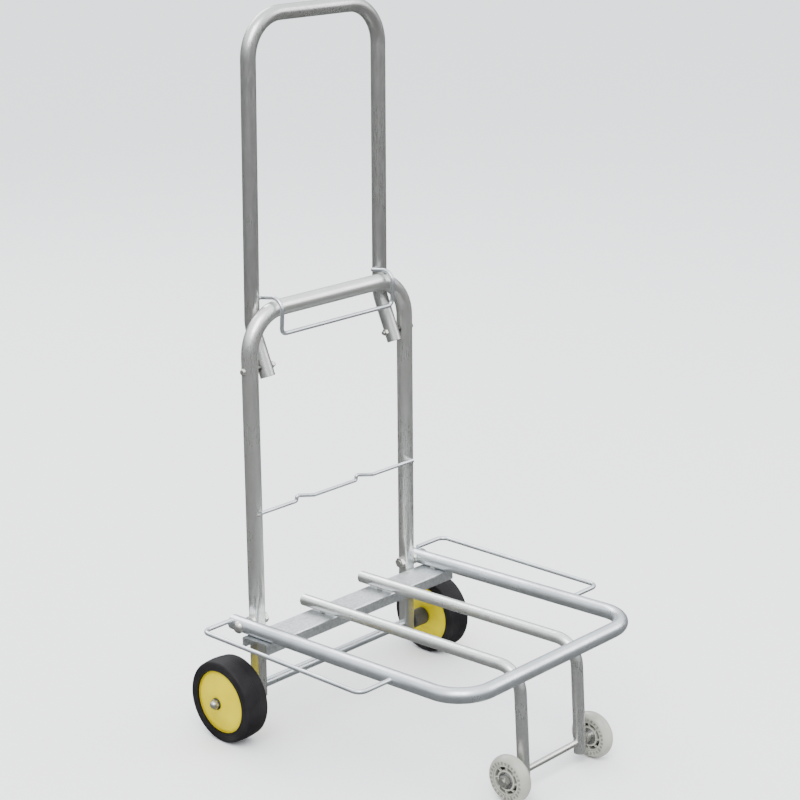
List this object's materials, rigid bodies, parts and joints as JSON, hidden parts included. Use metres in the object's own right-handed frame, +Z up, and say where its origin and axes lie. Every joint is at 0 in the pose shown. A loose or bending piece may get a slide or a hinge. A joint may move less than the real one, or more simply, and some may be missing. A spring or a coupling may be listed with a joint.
{
  "type": "hand truck",
  "caption": "Folding tube-frame luggage hand truck with a two-stage handle, a slatted toe platform with side wings, two large rear wheels and two small front wheels.",
  "frame": {"origin": "on the floor, under the centre of the truck's bounding box", "axes": "+X across the truck to its right side as seen from behind the toe, -Y forward over the toe platform, +Z up"},
  "size_m": [0.471, 0.4758, 0.955],
  "materials": {
    "zinc_tube": "galvanised tube, satin",
    "zinc_wire": "galvanised wire, satin",
    "zinc_sheet": "galvanised sheet, satin",
    "weld_metal": "dark weld bead",
    "plated_fastener": "bright zinc plate",
    "black_tyre": "smooth black rubber",
    "black_plastic": "matt",
    "yellow_plastic": "glossy",
    "bush_metal": "satin",
    "clear_tyre": "milky translucent",
    "grey_plastic": "satin",
    "bearing_steel": "polished"
  },
  "bodies": {
    "back_frame": {"axle_tube": "zinc_tube", "back_frame_tube": "zinc_tube", "cord_hook_wire": "zinc_wire", "handle_pivot_bolts": "plated_fastener", "handle_pivot_nuts": "plated_fastener", "handle_pivot_spacers": "plated_fastener", "hook_wire_welds": "weld_metal", "platform_pivot_bolts": "plated_fastener", "platform_pivot_nuts": "plated_fastener", "platform_pivot_spacers": "plated_fastener", "rear_axle": "plated_fastener", "rear_axle_nuts": "plated_fastener", "rear_axle_washers": "plated_fastener", "wheel_spacer_left": "black_plastic", "wheel_spacer_right": "black_plastic"},
    "handle": {"handle_tube": "zinc_tube"},
    "lock_bail": {"lock_bail": "zinc_wire"},
    "platform": {"cross_channel": "zinc_sheet", "front_axle": "plated_fastener", "front_axle_nuts": "plated_fastener", "front_axle_spacers": "plated_fastener", "platform_tube": "zinc_tube", "platform_welds": "weld_metal", "slat_tube_left": "zinc_tube", "slat_tube_right": "zinc_tube", "wing_wire_left": "zinc_wire", "wing_wire_right": "zinc_wire"},
    "rear_wheel_left": {"rear_tyre_left": "black_tyre", "rear_hub_left": "yellow_plastic", "rear_hub_cover_left": "yellow_plastic", "rear_wheel_bush_left": "bush_metal"},
    "front_wheel_left": {"front_tyre_left": "clear_tyre", "front_hub_left": "grey_plastic", "front_bearings_left": "bearing_steel"},
    "rear_wheel_right": {"rear_tyre_right": "black_tyre", "rear_hub_right": "yellow_plastic", "rear_hub_cover_right": "yellow_plastic", "rear_wheel_bush_right": "bush_metal"},
    "front_wheel_right": {"front_tyre_right": "clear_tyre", "front_hub_right": "grey_plastic", "front_bearings_right": "bearing_steel"}
  },
  "joints": [
    {"name": "handle_fold", "type": "hinge", "parent": "back_frame", "child": "handle", "pos_m": [0, 0.18092, 0.497], "axis": [-1, 0, 0], "range_deg": [0, 172]},
    {"name": "bail_swing", "type": "hinge", "parent": "handle", "child": "lock_bail", "pos_m": [0, 0.20248, 0.5825], "axis": [-1, 0, 0], "range_deg": [0, 473]},
    {"name": "platform_fold", "type": "hinge", "parent": "back_frame", "child": "platform", "pos_m": [0, 0.18092, 0.152], "axis": [-1, 0, 0], "range_deg": [0, 78]},
    {"name": "rear_wheel_left_spin", "type": "hinge", "parent": "back_frame", "child": "rear_wheel_left", "pos_m": [0, 0.18092, 0.057], "axis": [1, 0, 0], "continuous": true},
    {"name": "rear_wheel_right_spin", "type": "hinge", "parent": "back_frame", "child": "rear_wheel_right", "pos_m": [0, 0.18092, 0.057], "axis": [1, 0, 0], "continuous": true},
    {"name": "front_wheel_left_spin", "type": "hinge", "parent": "platform", "child": "front_wheel_left", "pos_m": [0, -0.20692, 0.031], "axis": [1, 0, 0], "continuous": true},
    {"name": "front_wheel_right_spin", "type": "hinge", "parent": "platform", "child": "front_wheel_right", "pos_m": [0, -0.20692, 0.031], "axis": [1, 0, 0], "continuous": true}
  ],
  "couplings": [
    {"joint": "bail_swing", "follows": "handle_fold", "ratio": 2.75}
  ]
}
